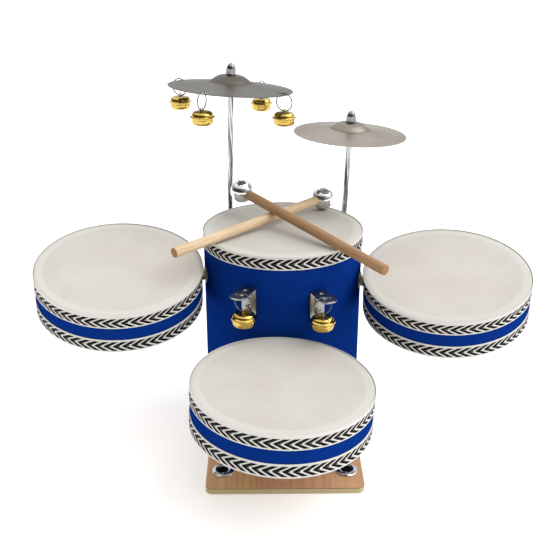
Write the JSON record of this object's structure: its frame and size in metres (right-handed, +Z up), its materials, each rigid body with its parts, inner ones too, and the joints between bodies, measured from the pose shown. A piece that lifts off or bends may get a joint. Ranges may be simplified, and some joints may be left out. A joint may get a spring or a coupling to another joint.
{
  "type": "acoustic drum kit",
  "caption": "Small tabletop drum kit: a tall drum on a board, shallow drums hung round it on bolts, cymbals on rods, jingle bells and mallets.",
  "frame": {"origin": "point of the board's underside on the tall drum's axis", "axes": "+Z up; +X towards the right-hand drum as the player sees it; -Y towards the player and the front drum"},
  "size_m": [0.4825, 0.392, 0.3596],
  "materials": {
    "board_veneer": "satin lacquered veneer over a yellowish fibreboard edge",
    "drum_shell": "plain pale bent plywood",
    "drum_skin": "matt translucent rawhide, paler round the rim",
    "blue_cover": "finely ribbed deep blue cover cloth",
    "chevron_ribbon": "woven ribbon, black chevrons on white with white selvedges",
    "zinc_steel": "bright zinc plate",
    "polished_chrome": "polished",
    "cymbal_metal": "dull spun metal, faintly brown",
    "yellow_zinc": "yellow zinc plate",
    "bell_brass": "polished, lightly tarnished in the grooves",
    "ring_wire": "bright drawn wire",
    "grey_felt": "pressed wool felt",
    "mallet_wood": "bare sanded dowel"
  },
  "bodies": {
    "kit_frame": {"base_board": "board_veneer", "eyelet_left": "polished_chrome", "eyelet_right": "polished_chrome", "centre_shell": "drum_shell", "centre_cover": "blue_cover", "centre_skin": "drum_skin", "centre_ribbon_top": "chevron_ribbon", "centre_ribbon_bottom": "chevron_ribbon", "left_pivot_washer": "zinc_steel", "left_pivot_spacer_nut": "yellow_zinc", "left_pivot_bolt": "zinc_steel", "right_pivot_washer": "zinc_steel", "right_pivot_spacer_nut": "yellow_zinc", "right_pivot_bolt": "zinc_steel", "front_pivot_washer": "zinc_steel", "front_pivot_spacer_nut": "yellow_zinc", "front_pivot_bolt": "zinc_steel", "bell_bracket_left": "zinc_steel", "bell_bracket_right": "zinc_steel", "stand_bracket_left": "zinc_steel", "stand_bracket_right": "zinc_steel", "left_stand_rod": "polished_chrome", "left_acorn_nut": "polished_chrome", "right_stand_rod": "polished_chrome", "right_acorn_nut": "polished_chrome"},
    "left_drum": {"left_shell": "drum_shell", "left_cover": "blue_cover", "left_skin": "drum_skin", "left_ribbon_top": "chevron_ribbon", "left_ribbon_bottom": "chevron_ribbon"},
    "right_drum": {"right_shell": "drum_shell", "right_cover": "blue_cover", "right_skin": "drum_skin", "right_ribbon_top": "chevron_ribbon", "right_ribbon_bottom": "chevron_ribbon"},
    "front_drum": {"front_shell": "drum_shell", "front_cover": "blue_cover", "front_skin": "drum_skin", "front_ribbon_top": "chevron_ribbon", "front_ribbon_bottom": "chevron_ribbon"},
    "left_cymbal_felt": {"left_felt_washer": "grey_felt"},
    "left_cymbal_plate": {"left_cymbal": "cymbal_metal"},
    "right_cymbal_felt": {"right_felt_washer": "grey_felt"},
    "right_cymbal_plate": {"right_cymbal": "cymbal_metal"},
    "cymbal_jingle_1_ring_body": {"cymbal_jingle_1_ring": "ring_wire"},
    "cymbal_jingle_1_bell_body": {"cymbal_jingle_1_bell": "bell_brass"},
    "cymbal_jingle_2_ring_body": {"cymbal_jingle_2_ring": "ring_wire"},
    "cymbal_jingle_2_bell_body": {"cymbal_jingle_2_bell": "bell_brass"},
    "cymbal_jingle_3_ring_body": {"cymbal_jingle_3_ring": "ring_wire"},
    "cymbal_jingle_3_bell_body": {"cymbal_jingle_3_bell": "bell_brass"},
    "cymbal_jingle_4_ring_body": {"cymbal_jingle_4_ring": "ring_wire"},
    "cymbal_jingle_4_bell_body": {"cymbal_jingle_4_bell": "bell_brass"},
    "bracket_jingle_left_ring_body": {"bracket_jingle_left_ring": "ring_wire"},
    "bracket_jingle_left_bell_body": {"bracket_jingle_left_bell": "bell_brass"},
    "bracket_jingle_right_ring_body": {"bracket_jingle_right_ring": "ring_wire"},
    "bracket_jingle_right_bell_body": {"bracket_jingle_right_bell": "bell_brass"},
    "lower_mallet": {"lower_mallet_ball": "polished_chrome", "lower_mallet_stick": "mallet_wood"},
    "upper_mallet": {"upper_mallet_ball": "polished_chrome", "upper_mallet_stick": "mallet_wood"}
  },
  "joints": [
    {"name": "left_drum_turn", "type": "hinge", "parent": "kit_frame", "child": "left_drum", "pos_m": [-0.08283, -0.02313, 0.1679], "axis": [-0.9632, -0.2689, 0], "range_deg": [-90, 30]},
    {"name": "right_drum_turn", "type": "hinge", "parent": "kit_frame", "child": "right_drum", "pos_m": [0.08242, -0.02457, 0.161], "axis": [0.9583, -0.2857, 0], "range_deg": [-90, 90]},
    {"name": "front_drum_turn", "type": "hinge", "parent": "kit_frame", "child": "front_drum", "pos_m": [-0.00195, -0.08598, 0.1089], "axis": [-0.0227, -0.9997, 0], "range_deg": [-18, 18]},
    {"name": "left_cymbal_rock", "type": "hinge", "parent": "kit_frame", "child": "left_cymbal_felt", "pos_m": [-0.05241, 0.07882, 0.34343], "axis": [1, 0, 0], "range_deg": [-4, 9.5]},
    {"name": "left_cymbal_spin", "type": "hinge", "parent": "left_cymbal_felt", "child": "left_cymbal_plate", "pos_m": [-0.05241, 0.07882, 0.34343], "axis": [0.0662, 0.0558, 0.9962], "continuous": true},
    {"name": "right_cymbal_rock", "type": "hinge", "parent": "kit_frame", "child": "right_cymbal_felt", "pos_m": [0.07191, 0.07023, 0.29571], "axis": [1, 0, 0], "range_deg": [-6.5, 8.5]},
    {"name": "right_cymbal_spin", "type": "hinge", "parent": "right_cymbal_felt", "child": "right_cymbal_plate", "pos_m": [0.07191, 0.07023, 0.29571], "axis": [0.0471, 0.0175, 0.9987], "continuous": true},
    {"name": "cymbal_jingle_1_ring_swing", "type": "hinge", "parent": "left_cymbal_plate", "child": "cymbal_jingle_1_ring_body", "pos_m": [-0.10844, 0.1092, 0.33637], "axis": [-0.8746, 0.4848, 0], "range_deg": [-30, 30]},
    {"name": "cymbal_jingle_1_bell_swing", "type": "hinge", "parent": "cymbal_jingle_1_ring_body", "child": "cymbal_jingle_1_bell_body", "pos_m": [-0.10844, 0.1092, 0.32083], "axis": [-0.8746, 0.4848, 0], "range_deg": [-45, 45]},
    {"name": "cymbal_jingle_2_ring_swing", "type": "hinge", "parent": "left_cymbal_plate", "child": "cymbal_jingle_2_ring_body", "pos_m": [-0.07865, 0.02048, 0.33936], "axis": [-0.4067, -0.9135, 0], "range_deg": [-30, 30]},
    {"name": "cymbal_jingle_2_bell_swing", "type": "hinge", "parent": "cymbal_jingle_2_ring_body", "child": "cymbal_jingle_2_bell_body", "pos_m": [-0.07865, 0.02048, 0.32381], "axis": [-0.4067, -0.9135, 0], "range_deg": [-45, 45]},
    {"name": "cymbal_jingle_3_ring_swing", "type": "hinge", "parent": "left_cymbal_plate", "child": "cymbal_jingle_3_ring_body", "pos_m": [-0.02138, 0.13318, 0.32925], "axis": [0.5, 0.866, 0], "range_deg": [-30, 30]},
    {"name": "cymbal_jingle_3_bell_swing", "type": "hinge", "parent": "cymbal_jingle_3_ring_body", "child": "cymbal_jingle_3_bell_body", "pos_m": [-0.02138, 0.13318, 0.3137], "axis": [0.5, 0.866, 0], "range_deg": [-45, 45]},
    {"name": "cymbal_jingle_4_ring_swing", "type": "hinge", "parent": "left_cymbal_plate", "child": "cymbal_jingle_4_ring_body", "pos_m": [0.00195, 0.04652, 0.33255], "axis": [0.866, -0.5, 0], "range_deg": [-30, 30]},
    {"name": "cymbal_jingle_4_bell_swing", "type": "hinge", "parent": "cymbal_jingle_4_ring_body", "child": "cymbal_jingle_4_bell_body", "pos_m": [0.00195, 0.04652, 0.317], "axis": [0.866, -0.5, 0], "range_deg": [-45, 45]},
    {"name": "bracket_jingle_left_ring_swing", "type": "hinge", "parent": "kit_frame", "child": "bracket_jingle_left_ring_body", "pos_m": [-0.03786, -0.09405, 0.176], "axis": [0.9114, -0.4115, 0], "range_deg": [-30, 9]},
    {"name": "bracket_jingle_left_bell_swing", "type": "hinge", "parent": "bracket_jingle_left_ring_body", "child": "bracket_jingle_left_bell_body", "pos_m": [-0.03786, -0.09405, 0.16065], "axis": [0.9114, -0.4115, 0], "range_deg": [-45, 8]},
    {"name": "bracket_jingle_right_ring_swing", "type": "hinge", "parent": "kit_frame", "child": "bracket_jingle_right_ring_body", "pos_m": [0.03538, -0.09501, 0.1725], "axis": [0.9219, 0.3875, 0], "range_deg": [-30, 9]},
    {"name": "bracket_jingle_right_bell_swing", "type": "hinge", "parent": "bracket_jingle_right_ring_body", "child": "bracket_jingle_right_bell_body", "pos_m": [0.03538, -0.09501, 0.15715], "axis": [0.9219, 0.3875, 0], "range_deg": [-45, 8]},
    {"name": "lower_mallet_lift", "type": "slide", "parent": "kit_frame", "child": "lower_mallet", "axis": [0, 0, 1], "range_m": [0, 0.04]},
    {"name": "upper_mallet_lift", "type": "slide", "parent": "lower_mallet", "child": "upper_mallet", "axis": [0, 0, 1], "range_m": [0, 0.03]}
  ]
}
